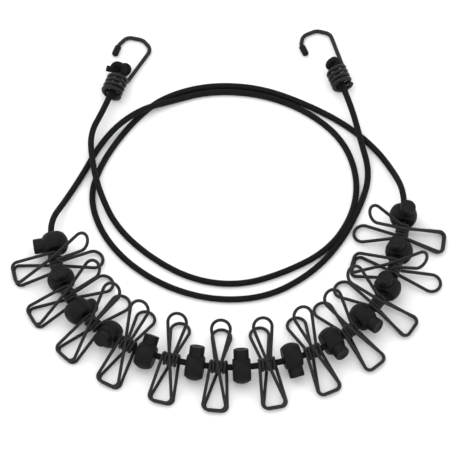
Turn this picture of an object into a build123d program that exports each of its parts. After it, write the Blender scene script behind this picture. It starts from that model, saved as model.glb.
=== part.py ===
from build123d import *
import os
from math import cos, degrees, pi, radians, sin, tan

# Elastic travel clothesline laid flat on a table, in millimetres, +Z up, the table at Z = 0.
# One elastic cord runs from the left hook to the right hook.  Thirteen ball locks and twelve
# wire clips are threaded on it along the lower arc; a wire hook is knotted on at each end.
# The origin is on the table, below the middle of the hard pieces.

CENTRE_X = 2.98              # middle of the hard pieces, as the layout below is written
CENTRE_Y = 4.34

# ---- cord ----
CORD_DIAMETER = 5.0
CORD_RADIUS = CORD_DIAMETER / 2
LOW = CORD_RADIUS            # height of the cord's centre where it lies on the table
LINE = 13.0                  # height of the cord's centre through the locks and clips
OVER = 8.8                   # height of the cord's centre where it passes over itself
BARREL = 8.7                 # height of the cord's centre in a hook's winding

# ---- ball lock: a ball with two flats across the cord, and a push button ----
BALL_RADIUS = 11.0
BALL_WIDTH = 14.2            # between the flats, along the cord
BALL_OFFSET = 2.0            # ball centre to cord centre, away from the button
CORD_HOLE = 3.0              # radius of the cord's hole
BUTTON_RADIUS = 6.0
BUTTON_CLEARANCE = 0.3
BUTTON_TOP = 16.6            # button's face, from the ball's centre
BUTTON_FOOT = -2.4           # button's lower end, from the ball's centre
BUTTON_EDGE = 0.8
BUTTON_DIMPLE = 0.7
PRESS = 3.0                  # travel of the button
BORE_FLOOR = -5.8
POCKET_RADIUS = 4.2          # seat of the spring under the button
POCKET_FLOOR = -8.6
SPRING_RADIUS = 3.2
SPRING_WIRE = 0.7
SPRING_TURNS = 2.0
SPRING_PITCH = 0.9
# Lean of each button from straight up, in degrees, positive away from the loop's inside.
BUTTON_LEANS = [95, 8, -118, 50, -60, -50, -50, 118, 80, 80, -8, -8, 14]

# ---- clip: two levers of one bent wire, wound round the cord ----
CLIP_WIRE = 2.6
CLIP_BORE = 2.9              # inner radius of the winding
WIND_RADIUS = CLIP_BORE + CLIP_WIRE / 2
WIND_PITCH = 2.75
WIND_TURNS = 4.5
WIND_SPLIT = 0.15            # half of the gap along the cord between the levers' windings
WIND_GAP = 20.0              # degrees of wire missing on each side of the windings' middle
WIND_LEAD = 4.3              # degrees of winding before the straight jaw wire
JAW_LENGTH = 34.7            # pivot to the jaw's end bar
JAW_HALF = 9.5
JAW_CORNER = 4.2
CROSS_HALF = 0.3             # where the wire passes in front of the winding
CROSS_LIFT = 7.6
CROSS_BEND = 30.0
HANDLE_LENGTH = 39.2
HANDLE_SPREAD = 32.0         # degrees between a handle and the clip's middle plane
HANDLE_HALF = 9.1
HANDLE_ROUND = 7.25
WIRE_END = (-2.6, 7.2, 2.9)  # cut end of the wire, in front of the winding
CLIP_SLOPE = 16.6            # degrees that the jaws point down to the table
REVERSED_CLIP = 11           # the one clip whose jaws point into the loop

# ---- hook: a barrel winding, a shank and a bow, with a soft cap on its point ----
HOOK_WIRE = 3.2
HOOK_WIND_RADIUS = 7.1
HOOK_PITCH = 3.9
HOOK_TURNS = 4.0
HOOK_CORNER = 4.2            # from the winding's end to the corner into the shank
HOOK_CORNER_BEND = 3.2
CAP_RADIUS = 2.6
CAP_LENGTH = 9.0
CAP_BORE = 6.0
KNOT_RADIUS = 4.0

# Cord route from the left hook to the right hook: (x, y, z) where its runs meet.
LEFT_STRAND = [
    (-84.6, 129.7, BARREL), (-95.9, 100.3, BARREL), (-107.2, 78, 8.5), (-105.2, 52, OVER),
    (-99.8, 27, 8.5), (-87, -1.5, LOW), (-62, -28, LOW), (-27, -50, LOW), (11, -55.5, LOW),
    (48, -43.5, LOW), (82, -23.5, LOW), (101.5, 8, LOW), (105.5, 42, LOW), (93, 77, LOW),
    (63, 103, LOW), (27, 117.2, LOW), (-12, 119.5, LOW), (-44, 109.5, 3.2), (-65, 100.5, 8.5),
    (-85, 86, 8.5), (-101, 68, LOW), (-112, 45, LOW), (-126, 20, 3.5), (-137.5, -2, 11.8),
]
LOCK_POINTS = [
    (-136.6, -24), (-129.8, -54.8), (-114.4, -83.2), (-91.6, -105), (-61.6, -120.9),
    (-23.4, -130.6), (13, -133.8), (53, -126.2), (84.9, -111.8), (110, -90), (128.2, -61.8),
    (137.2, -29.4), (141.5, 2.4),
]
RIGHT_STRAND = [
    (141, 24.5, 11.8), (134, 45, 3.5), (119, 68, LOW), (95, 90, LOW), (62, 109, LOW),
    (27, 122.8, LOW), (-12, 125.2, LOW), (-47, 115, LOW), (-68, 97.5, LOW), (-86, 74, LOW),
    (-99, 51, LOW), (-107, 24, LOW), (-98.5, -7, LOW), (-78, -34.5, LOW), (-47, -56.5, LOW),
    (-9, -68.5, LOW), (32, -66, LOW), (66, -46.5, LOW), (90.5, -19, LOW), (108, 17, LOW),
    (115, 45, LOW), (107.5, 72, OVER), (99.9, 105, BARREL), (87.8, 136.8, BARREL),
]
LINE_POINTS = [(x, y, LINE) for x, y in LOCK_POINTS]
ROUTE = [Vector(*p) for p in LEFT_STRAND + LINE_POINTS + RIGHT_STRAND]

# Hooks: winding's top end, its axis, and the wire's corners as (across, along, height).
LEFT_HOOK = dict(
    top=(-85.3, 127.8), axis=(0.358, 0.934),
    corners=[(14.0, 37.5, 2.4), (4.5, 43.0, 2.0), (-8.0, 41.3, 1.9), (-11.6, 32.5, 2.2)],
    end=(-11.5, 24.0, 3.0), knot=(-3.0, 8.6))
RIGHT_HOOK = dict(
    top=(88.5, 135.0), axis=(-0.355, 0.935),
    corners=[(9.0, 36.0, 2.4), (0.0, 42.8, 2.0), (-12.0, 42.2, 1.9), (-16.3, 35.0, 2.2)],
    end=(-16.0, 27.0, 3.0), knot=(-2.6, 8.0))


def corner_radii(points):
    """Each corner's largest arc: 0.45 of its shorter run over the tangent of half its turn."""
    radii = []
    for before, here, after in zip(points, points[1:], points[2:]):
        turn = (here - before).get_angle(after - here)
        shorter = min((here - before).length, (after - here).length)
        radii.append(0.45 * shorter / tan(radians(turn) / 2))
    return radii


def swept(path, radius):
    """A round wire or cord along a path."""
    start = Plane(origin=path @ 0, z_dir=path % 0)
    return sweep(start * Circle(radius), path=path, transition=Transition.RIGHT)


def place(shape):
    """Move a shape from the layout to the part's own frame."""
    return Pos(-CENTRE_X, -CENTRE_Y, 0) * shape


def save(shape, name):
    shape.label = name
    export_step(shape, f"parts/{name}.step")


def cord():
    radii = corner_radii(ROUTE)
    path = Wire(FilletPolyline(*ROUTE, radius=radii).edges())
    print("cord arc radii:", " ".join(f"{r:.0f}" for r in radii))
    print(f"cord length {path.length:.1f}")
    tube = swept(path, CORD_RADIUS)
    print(f"cord tube {tube.volume:.0f}, section x length {pi * CORD_RADIUS**2 * path.length:.0f}")
    return tube


def cord_frame(before, here, after):
    """Tangent and outward directions of the line at a corner, and the middle of its arc."""
    tangent = ((here - before).normalized() + (after - here).normalized()).normalized()
    outward = Vector(tangent.Y, -tangent.X, 0).normalized()
    turn = (here - before).get_angle(after - here)
    shorter = min((here - before).length, (after - here).length)
    radius = 0.45 * shorter / tan(radians(turn) / 2)
    sag = radius * (1 / cos(radians(turn) / 2) - 1)
    middle = here - outward * sag
    return Vector(tangent.X, tangent.Y, 0).normalized(), outward, Vector(middle.X, middle.Y, LINE)


def lock_plane(index, lean):
    """Frame of one lock: X along the cord, Z along the button, origin at the ball's centre."""
    corner = len(LEFT_STRAND) + index
    tangent, outward, middle = cord_frame(ROUTE[corner - 1], ROUTE[corner], ROUTE[corner + 1])
    button = outward * sin(radians(lean)) + Vector(0, 0, 1) * cos(radians(lean))
    return Plane(origin=middle - button * BALL_OFFSET, x_dir=tangent, z_dir=button)


def along_z(radius, low, high):
    return Pos(0, 0, (low + high) / 2) * Cylinder(radius, high - low)


def lock_body():
    ball = Sphere(BALL_RADIUS) & Box(BALL_WIDTH, 3 * BALL_RADIUS, 3 * BALL_RADIUS)
    ball = fillet(ball.edges().filter_by(GeomType.CIRCLE), 0.7)
    ball -= along_z(BUTTON_RADIUS + BUTTON_CLEARANCE, BORE_FLOOR, 2 * BALL_RADIUS)
    ball -= along_z(POCKET_RADIUS, POCKET_FLOOR, 0)
    hole = Pos(0, 0, BALL_OFFSET) * Rot(0, 90, 0) * Cylinder(CORD_HOLE, 3 * BALL_RADIUS)
    return ball - hole


def lock_button():
    button = along_z(BUTTON_RADIUS, BUTTON_FOOT, BUTTON_TOP)
    button = fillet(button.edges().group_by(Axis.Z)[-1], BUTTON_EDGE)
    dish = BUTTON_RADIUS * 2.2
    button -= Pos(0, 0, BUTTON_TOP + dish - BUTTON_DIMPLE) * Sphere(dish)
    low = Pos(0, 0, BALL_OFFSET) * Rot(0, 90, 0) * Cylinder(CORD_HOLE, 3 * BALL_RADIUS)
    high = Pos(0, 0, PRESS) * low
    between = Pos(0, 0, BALL_OFFSET + PRESS / 2) * Box(3 * BALL_RADIUS, 2 * CORD_HOLE, PRESS)
    return button - low - high - between


def lock_spring():
    """The spring at its pressed height, seated in the pocket."""
    rise = SPRING_PITCH * SPRING_TURNS
    coil = Wire(Helix(pitch=SPRING_PITCH, height=rise, radius=SPRING_RADIUS).edges())
    return Pos(0, 0, POCKET_FLOOR + SPRING_WIRE / 2) * swept(coil, SPRING_WIRE / 2)


def winding_point(turned):
    """Point and direction of a lever's winding, in degrees turned from its front."""
    start = WIND_SPLIT + WIND_TURNS * WIND_PITCH / 2
    a = radians(turned)
    point = Vector(start - WIND_PITCH * turned / 360, WIND_RADIUS * cos(a), WIND_RADIUS * sin(a))
    ahead = Vector(-WIND_PITCH / 360 * degrees(1), -WIND_RADIUS * sin(a), WIND_RADIUS * cos(a))
    return point, ahead.normalized()


def clip_lever():
    """Front lever: X along the cord, Y to the front, Z towards the handles."""
    leave, ahead = winding_point(-WIND_LEAD)
    jaw = leave - ahead * ((leave.Z + JAW_LENGTH) / ahead.Z)
    spread = radians(HANDLE_SPREAD)
    high = Vector(0, HANDLE_LENGTH * sin(spread), HANDLE_LENGTH * cos(spread))
    corners = [
        leave, jaw, Vector(-JAW_HALF, jaw.Y, jaw.Z), Vector(CROSS_HALF, CROSS_LIFT, 0),
        high + Vector(HANDLE_HALF, 0, 0), high - Vector(HANDLE_HALF, 0, 0), Vector(*WIRE_END),
    ]
    bends = [JAW_CORNER, JAW_CORNER, CROSS_BEND, HANDLE_ROUND, HANDLE_ROUND]
    levers = FilletPolyline(*corners, radius=bends)
    last = WIND_TURNS * 180 - WIND_GAP
    wound = last + WIND_LEAD
    spiral = Helix(pitch=WIND_PITCH, height=WIND_PITCH * wound / 360, radius=WIND_RADIUS,
                   lefthand=True)
    seat = Plane(origin=(leave.X, 0, 0), x_dir=(0, cos(radians(WIND_LEAD)), -sin(radians(WIND_LEAD))),
                 z_dir=(-1, 0, 0))
    path = Wire(list(levers.edges()) + list((seat * spiral).edges()))
    return swept(path, CLIP_WIRE / 2)


def clip_plane(index):
    """Frame of one clip on the cord: X along it, Z towards the handles."""
    corner = len(LEFT_STRAND) + index
    middle = (ROUTE[corner] + ROUTE[corner + 1]) / 2
    along = (ROUTE[corner + 1] - ROUTE[corner]).normalized()
    inward = Vector(-along.Y, along.X, 0)
    if index + 1 == REVERSED_CLIP:
        along, inward = along * -1, inward * -1
    slope = radians(CLIP_SLOPE)
    handles = inward * cos(slope) + Vector(0, 0, sin(slope))
    return Plane(origin=middle, x_dir=along * -1, z_dir=handles)


def hook_frame(spec):
    axis = Vector(*spec["axis"], 0).normalized()
    across = Vector(axis.Y, -axis.X, 0)
    top = Vector(*spec["top"], 0)

    def at(p, a, z):
        return top + across * p + axis * a + Vector(0, 0, z)
    return at, across, axis


def hook(spec):
    """Hook wire: winding from the cord's side up to the corner, shank, bow and point."""
    at, across, axis = hook_frame(spec)
    height = HOOK_PITCH * HOOK_TURNS
    spiral = Helix(pitch=HOOK_PITCH, height=height, radius=HOOK_WIND_RADIUS)
    seat = Plane(origin=at(0, -height, BARREL), x_dir=across, z_dir=axis)
    winding = (seat * spiral).edges()
    leave = winding[0] @ 1
    ahead = winding[0] % 1
    corners = [leave, leave + ahead * HOOK_CORNER] + [at(*c) for c in spec["corners"]]
    corners.append(at(*spec["end"]))
    bends = [HOOK_CORNER_BEND, 7, 8, 7, 6]
    wire = FilletPolyline(*corners, radius=bends)
    path = Wire(list(winding) + list(wire.edges()))
    return swept(path, HOOK_WIRE / 2)


def hook_cap(spec):
    """Soft cap pushed on the hook's point."""
    at, across, axis = hook_frame(spec)
    end = at(*spec["end"])
    out = (end - at(*spec["corners"][-1])).normalized()
    seat = Plane(origin=end - out * CAP_BORE, z_dir=out)
    body = along_z(CAP_RADIUS, 0, CAP_LENGTH)
    body = fillet(body.edges().group_by(Axis.Z)[-1], 0.9 * CAP_RADIUS)
    body -= along_z(HOOK_WIRE / 2, -1, CAP_BORE)
    return seat * body


def knot(spec):
    """Overhand knot above the winding: two rings of cord drawn together."""
    at, across, axis = hook_frame(spec)
    p, a = spec["knot"]
    ring = Torus(KNOT_RADIUS, CORD_RADIUS)
    flat = Plane(origin=at(p + 1.6, a - 1.2, BARREL), x_dir=across, z_dir=(axis + Vector(0, 0, 0.7)))
    steep = Plane(origin=at(p - 1.6, a + 0.6, BARREL), x_dir=axis, z_dir=(across + Vector(0, 0, 0.9)))
    return flat * ring + steep * ring


def build():
    os.makedirs("parts", exist_ok=True)
    save(place(cord()), "elastic_cord")
    body, button, spring = lock_body(), lock_button(), lock_spring()
    springs = []
    for index, lean in enumerate(BUTTON_LEANS):
        frame = lock_plane(index, lean)
        save(place(frame * body), f"lock_{index + 1:02d}_body")
        save(place(frame * button), f"lock_{index + 1:02d}_button")
        springs.append(place(frame * spring))
    save(Compound(children=springs), "lock_springs")
    front = clip_lever()
    rear = Rot(0, 0, 180) * front
    for index in range(len(LOCK_POINTS) - 1):
        frame = clip_plane(index)
        save(place(frame * front), f"clip_{index + 1:02d}_front_lever")
        save(place(frame * rear), f"clip_{index + 1:02d}_rear_lever")
    for side, spec in (("left", LEFT_HOOK), ("right", RIGHT_HOOK)):
        save(place(hook(spec)), f"{side}_hook")
        save(place(hook_cap(spec)), f"{side}_hook_cap")
        save(place(knot(spec)), f"{side}_knot")


build()
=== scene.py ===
import bpy
from math import cos, floor, pi, radians, sin
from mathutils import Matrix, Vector


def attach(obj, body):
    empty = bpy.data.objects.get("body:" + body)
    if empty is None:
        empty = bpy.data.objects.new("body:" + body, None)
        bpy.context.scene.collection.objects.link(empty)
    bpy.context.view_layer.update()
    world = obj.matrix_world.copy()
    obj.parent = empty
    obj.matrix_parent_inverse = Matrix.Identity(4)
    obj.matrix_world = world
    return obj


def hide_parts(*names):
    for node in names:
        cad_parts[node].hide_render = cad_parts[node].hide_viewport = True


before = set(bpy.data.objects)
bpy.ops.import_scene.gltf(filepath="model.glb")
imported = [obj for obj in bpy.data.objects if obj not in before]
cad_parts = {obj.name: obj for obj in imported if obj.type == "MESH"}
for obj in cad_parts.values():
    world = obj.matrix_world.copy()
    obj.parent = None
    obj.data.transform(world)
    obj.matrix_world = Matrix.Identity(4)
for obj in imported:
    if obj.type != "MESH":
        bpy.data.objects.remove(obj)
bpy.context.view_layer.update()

# ---- dimensions, in metres ----
MM = 0.001
CENTRE = Vector((2.98, 4.34, 0)) * MM        # the layout's own zero, as part.py shifts it
CORD_DIAMETER = 5.0 * MM
LOW = 2.5                                    # heights of the cord's centre, in millimetres
LINE = 13.0
OVER = 8.8
BARREL = 8.7
BRAID_STRANDS = 8                            # each way round the cord
BRAID_PERIOD = 2.3 * MM                      # along the cord, for one strand
BRAID_HEIGHT = 0.13 * MM
FILAMENTS = 6                                # waves of fibre shown on one braid strand
RING_STEP = 0.45 * MM
RING_SIDES = 32

# ---- camera: the long lens of a product picture, 62 degrees above the table ----
ELEVATION = radians(62)
CAMERA_DISTANCE = 6.0
VIEW_WIDTH = 0.3555

# ---- stage ----
FLOOR_SIZE = 6
WORLD_STRENGTH = 1.2


def make_camera():
    data = bpy.data.cameras.new("camera")
    data.sensor_width = 36
    data.lens = data.sensor_width / 2 / (VIEW_WIDTH / 2 / CAMERA_DISTANCE)
    data.clip_end = 20
    camera = bpy.data.objects.new("camera", data)
    bpy.context.scene.collection.objects.link(camera)
    away = Vector((0, -cos(ELEVATION), sin(ELEVATION)))
    camera.location = -CENTRE + away * CAMERA_DISTANCE
    camera.rotation_euler = (pi / 2 - ELEVATION, 0, 0)
    bpy.context.scene.camera = camera


# ---- materials ----
class Nodes:
    """Short names for building one material's nodes."""

    def __init__(self, name, color, roughness, **constants):
        self.material = bpy.data.materials.new(name)
        self.material.use_nodes = True
        self.tree = self.material.node_tree
        self.shader = self.tree.nodes["Principled BSDF"]
        self.shader.inputs["Base Color"].default_value = (*color, 1)
        self.shader.inputs["Roughness"].default_value = roughness
        for socket, value in constants.items():
            self.shader.inputs[socket.replace("_", " ")].default_value = value

    def node(self, kind, **settings):
        new = self.tree.nodes.new(kind)
        for key, value in settings.items():
            setattr(new, key, value)
        return new

    def link(self, output, socket):
        self.tree.links.new(output, socket)

    def place(self, kind="Object"):
        return self.node("ShaderNodeTexCoord").outputs[kind]

    def noise(self, scale, detail=3.0, where=None):
        new = self.node("ShaderNodeTexNoise")
        new.inputs["Scale"].default_value = scale
        new.inputs["Detail"].default_value = detail
        self.link(where or self.place(), new.inputs["Vector"])
        return new.outputs["Fac"]

    def ramp(self, value, stops):
        new = self.node("ShaderNodeValToRGB")
        points = new.color_ramp.elements
        while len(points) < len(stops):
            points.new(0.5)
        for point, (at, color) in zip(points, stops):
            point.position = at
            point.color = (*color, 1) if hasattr(color, "__len__") else (color, color, color, 1)
        self.link(value, new.inputs["Fac"])
        return new.outputs["Color"]

    def math(self, operation, first, second=None):
        new = self.node("ShaderNodeMath", operation=operation)
        for socket, value in zip(new.inputs, (first, second)):
            if value is None:
                continue
            if isinstance(value, (int, float)):
                socket.default_value = value
            else:
                self.link(value, socket)
        return new.outputs[0]

    def color(self, output):
        self.link(output, self.shader.inputs["Base Color"])

    def roughness(self, output):
        self.link(output, self.shader.inputs["Roughness"])

    def bump(self, height, strength, distance):
        new = self.node("ShaderNodeBump")
        new.inputs["Strength"].default_value = strength
        new.inputs["Distance"].default_value = distance
        self.link(height, new.inputs["Height"])
        if self.shader.inputs["Normal"].is_linked:
            before = self.shader.inputs["Normal"].links[0].from_socket
            self.link(before, new.inputs["Normal"])
        self.link(new.outputs["Normal"], self.shader.inputs["Normal"])


def braid_material():
    """Polyester cover: filaments along each braid strand, a dusty sheen, paler worn crowns."""
    made = Nodes("cord_braid", (0.008, 0.008, 0.009), 0.75,
                 Sheen_Weight=0.03, Sheen_Roughness=0.4, Specular_IOR_Level=0.1)
    uv = made.node("ShaderNodeSeparateXYZ")
    made.link(made.place("UV"), uv.inputs[0])
    right = made.math("ADD", uv.outputs[0], uv.outputs[1])
    left = made.math("SUBTRACT", uv.outputs[0], uv.outputs[1])
    waves = [made.math("SINE", made.math("MULTIPLY", strand, 2 * pi * FILAMENTS))
             for strand in (right, left)]
    weave = made.math("MULTIPLY", *waves)
    made.bump(weave, 0.35, 0.06 * MM)
    made.bump(made.noise(5200, 4), 0.3, 0.08 * MM)
    made.color(made.ramp(made.noise(900, 5), [
        (0.25, (0.003, 0.003, 0.0035)), (0.6, (0.006, 0.006, 0.0065)),
        (0.85, (0.013, 0.013, 0.014))]))
    made.roughness(made.ramp(made.noise(300, 3), [(0.2, 0.62), (0.8, 0.82)]))
    return made.material


def coated_wire_material(name, tone):
    """Dip-coated wire: satin black skin, faint runs and orange peel, a few dull rubbed spots."""
    made = Nodes(name, (tone, tone, tone), 0.4, Specular_IOR_Level=0.2, Coat_Weight=0.02,
                 Coat_Roughness=0.35)
    made.bump(made.noise(420, 2), 0.25, 0.25 * MM)
    made.bump(made.noise(2600, 3), 0.18, 0.05 * MM)
    rubbed = [(0.0, tone), (0.62, 1.15 * tone), (0.74, 1.8 * tone), (1.0, 2.3 * tone)]
    made.color(made.ramp(made.noise(240, 6), rubbed))
    made.roughness(made.ramp(made.noise(320, 5), [(0.25, 0.34), (0.75, 0.52)]))
    return made.material


def moulded_plastic_material(name, tone, grain):
    """Fine spark-eroded grain on moulded plastic, with slight flow marks and scuffs."""
    made = Nodes(name, (tone, tone, tone), 0.5, Specular_IOR_Level=0.12)
    made.bump(made.noise(grain, 2), 0.35, 0.05 * MM)
    made.bump(made.noise(110, 2), 0.12, 0.4 * MM)
    flow = [(0.2, 0.8 * tone), (0.55, 1.1 * tone), (0.78, 1.9 * tone)]
    made.color(made.ramp(made.noise(170, 6), flow))
    made.roughness(made.ramp(made.noise(260, 5), [(0.25, 0.42), (0.75, 0.6)]))
    return made.material


def steel_material():
    """Bare drawn steel of the locks' springs."""
    made = Nodes("bare_steel", (0.45, 0.45, 0.46), 0.38, Metallic=1.0)
    made.bump(made.noise(3800, 4), 0.4, 0.05 * MM)
    made.color(made.ramp(made.noise(1500, 4), [(0.3, (0.3, 0.3, 0.31)), (0.7, (0.56, 0.56, 0.57))]))
    return made.material


# ---- cord ----
def layout(points):
    return [Vector(p) * MM - CENTRE for p in points]


LEFT_STRAND = [
    (-84.6, 129.7, BARREL), (-95.9, 100.3, BARREL), (-107.2, 78, 8.5), (-105.2, 52, OVER),
    (-99.8, 27, 8.5), (-87, -1.5, LOW), (-62, -28, LOW), (-27, -50, LOW), (11, -55.5, LOW),
    (48, -43.5, LOW), (82, -23.5, LOW), (101.5, 8, LOW), (105.5, 42, LOW), (93, 77, LOW),
    (63, 103, LOW), (27, 117.2, LOW), (-12, 119.5, LOW), (-44, 109.5, 3.2), (-65, 100.5, 8.5),
    (-85, 86, 8.5), (-101, 68, LOW), (-112, 45, LOW), (-126, 20, 3.5), (-137.5, -2, 11.8),
]
LOCK_POINTS = [
    (-136.6, -24), (-129.8, -54.8), (-114.4, -83.2), (-91.6, -105), (-61.6, -120.9),
    (-23.4, -130.6), (13, -133.8), (53, -126.2), (84.9, -111.8), (110, -90), (128.2, -61.8),
    (137.2, -29.4), (141.5, 2.4),
]
RIGHT_STRAND = [
    (141, 24.5, 11.8), (134, 45, 3.5), (119, 68, LOW), (95, 90, LOW), (62, 109, LOW),
    (27, 122.8, LOW), (-12, 125.2, LOW), (-47, 115, LOW), (-68, 97.5, LOW), (-86, 74, LOW),
    (-99, 51, LOW), (-107, 24, LOW), (-98.5, -7, LOW), (-78, -34.5, LOW), (-47, -56.5, LOW),
    (-9, -68.5, LOW), (32, -66, LOW), (66, -46.5, LOW), (90.5, -19, LOW), (108, 17, LOW),
    (115, 45, LOW), (107.5, 72, OVER), (99.9, 105, BARREL), (87.8, 136.8, BARREL),
]
LINE_POINTS = [(x, y, LINE) for x, y in LOCK_POINTS]
ROUTE = layout(LEFT_STRAND + LINE_POINTS + RIGHT_STRAND)


def spline_points(points, resolution=24):
    """Points along the smooth line that a NURBS spline makes of its control points."""
    data = bpy.data.curves.new("route", "CURVE")
    data.dimensions = "3D"
    data.resolution_u = resolution
    spline = data.splines.new("NURBS")
    spline.points.add(len(points) - 1)
    for point, place in zip(spline.points, points):
        point.co = (*place, 1)
    spline.order_u = 3
    spline.use_endpoint_u = True
    holder = bpy.data.objects.new("route", data)
    line = bpy.data.meshes.new_from_object(holder)
    found = [v.co.copy() for v in line.vertices]
    bpy.data.objects.remove(holder)
    bpy.data.meshes.remove(line)
    return found


def even_points(line, step):
    """The same line at an even spacing, and its length."""
    lengths = [0.0]
    for a, b in zip(line, line[1:]):
        lengths.append(lengths[-1] + (b - a).length)
    count = max(2, round(lengths[-1] / step))
    found, k = [], 0
    for i in range(count + 1):
        want = lengths[-1] * i / count
        while k < len(lengths) - 2 and lengths[k + 1] < want:
            k += 1
        span = lengths[k + 1] - lengths[k]
        found.append(line[k].lerp(line[k + 1], (want - lengths[k]) / span if span else 0.0))
    return found, lengths[-1]


def braid_height(around, along):
    """Height of the braid: two ways of strands that pass over and under each other."""
    right, left = around + along, around - along
    over = (floor(right) + floor(left)) % 2 == 0
    across, ahead = (right, left) if over else (left, right)
    crown = abs(sin(pi * across))
    return crown * (0.45 + 0.55 * abs(sin(pi * ahead)))


def braided_tube(name, line, diameter):
    """A closed braided cord along a line, with UVs counted in strands; also its path and length."""
    path, length = even_points(line, RING_STEP)
    verts, faces, uvs = [], [], []
    side = Vector((0, 0, 1))
    for i, here in enumerate(path):
        ahead = (path[min(i + 1, len(path) - 1)] - path[max(i - 1, 0)]).normalized()
        side = (side - ahead * side.dot(ahead)).normalized()
        other = ahead.cross(side)
        along = i * length / (len(path) - 1) / BRAID_PERIOD
        for k in range(RING_SIDES):
            around = BRAID_STRANDS * k / RING_SIDES
            radius = diameter / 2 - BRAID_HEIGHT * (1 - braid_height(around, along))
            angle = 2 * pi * k / RING_SIDES
            verts.append(here + (side * cos(angle) + other * sin(angle)) * radius)
    for i in range(len(path) - 1):
        for k in range(RING_SIDES):
            n = (k + 1) % RING_SIDES
            faces.append((i * RING_SIDES + k, i * RING_SIDES + n,
                          (i + 1) * RING_SIDES + n, (i + 1) * RING_SIDES + k))
            for ring, corner in ((i, k), (i, k + 1), (i + 1, k + 1), (i + 1, k)):
                along = ring * length / (len(path) - 1) / BRAID_PERIOD
                uvs.append((BRAID_STRANDS * corner / RING_SIDES, along))
    last = (len(path) - 1) * RING_SIDES
    faces.append(tuple(reversed(range(RING_SIDES))))
    faces.append(tuple(range(last, last + RING_SIDES)))
    uvs += [(0.0, 0.0)] * (2 * RING_SIDES)
    mesh = bpy.data.meshes.new(name)
    mesh.from_pydata([tuple(v) for v in verts], [], faces)
    layer = mesh.uv_layers.new(name="strands")
    layer.data.foreach_set("uv", [value for pair in uvs for value in pair])
    mesh.shade_smooth()
    piece = bpy.data.objects.new(name, mesh)
    bpy.context.scene.collection.objects.link(piece)
    return piece, path, length


def finish_piece(piece, body, material):
    piece.data.materials.clear()
    piece.data.materials.append(material)
    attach(piece, body)


# ---- hooks' frames, as part.py places them ----
HOOKS = {
    "left": dict(top=(-85.3, 127.8), axis=(0.358, 0.934)),
    "right": dict(top=(88.5, 135.0), axis=(-0.355, 0.935)),
}


def hook_points(side, points):
    """Points given as (across, along, up) from the top of a hook's winding, in millimetres."""
    axis = Vector((*HOOKS[side]["axis"], 0)).normalized()
    across = Vector((axis.y, -axis.x, 0))
    top = Vector((*HOOKS[side]["top"], BARREL))
    return layout([top + across * p + axis * a + Vector((0, 0, up)) for p, a, up in points])


# Control points of each overhand knot, from the winding's top end to the cord's cut end.
KNOTS = {
    "left": [(0, 1, 0), (0.5, 3.5, 0.5), (3.5, 5.5, 2.6), (1.5, 9.5, 3.4), (-5.0, 11.0, 2.6),
             (-8.0, 8.0, 0.5), (-3.5, 5.0, -3.0), (3.5, 7.0, -3.2), (5.5, 11.5, -0.5),
             (1.0, 13.0, 1.0), (-1.5, 9.0, -0.6), (-6.5, 6.5, -1.2), (-12.0, 6.0, -1.5)],
    "right": [(0, 1, 0), (1.0, 3.0, 0.5), (3.8, 5.2, 2.2), (3.0, 7.8, 2.7), (-1.5, 8.2, 2.8),
              (-5.0, 5.6, 0.5), (-1.2, 3.6, -2.4), (2.0, 5.0, -2.2), (3.6, 9.0, 0.0),
              (1.0, 10.0, 0.8), (-1.2, 6.6, -0.2), (-4.6, 4.2, -1.0)],
}


def make_cord(material):
    line = spline_points(ROUTE)
    cord, path, length = braided_tube("braided_cord", line, CORD_DIAMETER)
    finish_piece(cord, "base", material)
    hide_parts("elastic_cord")
    for side, points in KNOTS.items():
        knot_line = spline_points(hook_points(side, points))
        tied = braided_tube(f"{side}_overhand_knot", knot_line, CORD_DIAMETER)[0]
        finish_piece(tied, "base", material)
        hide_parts(f"{side}_knot")


def make_floor():
    bpy.ops.mesh.primitive_plane_add(size=FLOOR_SIZE)
    ground = bpy.context.object
    ground.name = "floor"
    made = Nodes("pale_floor", (0.9, 0.9, 0.9), 0.6, Specular_IOR_Level=0.2)
    ground.data.materials.append(made.material)


def area_light(name, place, size, power):
    data = bpy.data.lights.new(name, "AREA")
    data.energy = power
    data.size = size
    light = bpy.data.objects.new(name, data)
    bpy.context.scene.collection.objects.link(light)
    light.location = place
    light.rotation_euler = (-Vector(place)).to_track_quat("-Z", "Y").to_euler()


def make_lights():
    world = bpy.data.worlds.new("studio")
    world.use_nodes = True
    background = world.node_tree.nodes["Background"]
    background.inputs["Color"].default_value = (1, 1, 1, 1)
    background.inputs["Strength"].default_value = WORLD_STRENGTH
    bpy.context.scene.world = world
    area_light("key", (-0.7, 0.5, 1.6), size=1.6, power=9)
    area_light("fill", (0.9, -0.6, 1.3), size=1.8, power=4)
    bpy.context.scene.view_settings.view_transform = "Standard"


def dress_cad():
    """Materials of the CAD pieces that stay."""
    dressing = {
        "lever": coated_wire_material("clip_coating", 0.009),
        "_hook": coated_wire_material("hook_coating", 0.007),
        "_body": moulded_plastic_material("lock_plastic", 0.0035, 3200),
        "_button": moulded_plastic_material("button_plastic", 0.005, 2600),
        "_cap": moulded_plastic_material("cap_vinyl", 0.004, 1800),
        "lock_springs": steel_material(),
    }
    for name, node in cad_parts.items():
        for ending, material in dressing.items():
            if name.endswith(ending):
                node.data.materials.clear()
                node.data.materials.append(material)


make_camera()
make_cord(braid_material())
dress_cad()
make_floor()
make_lights()
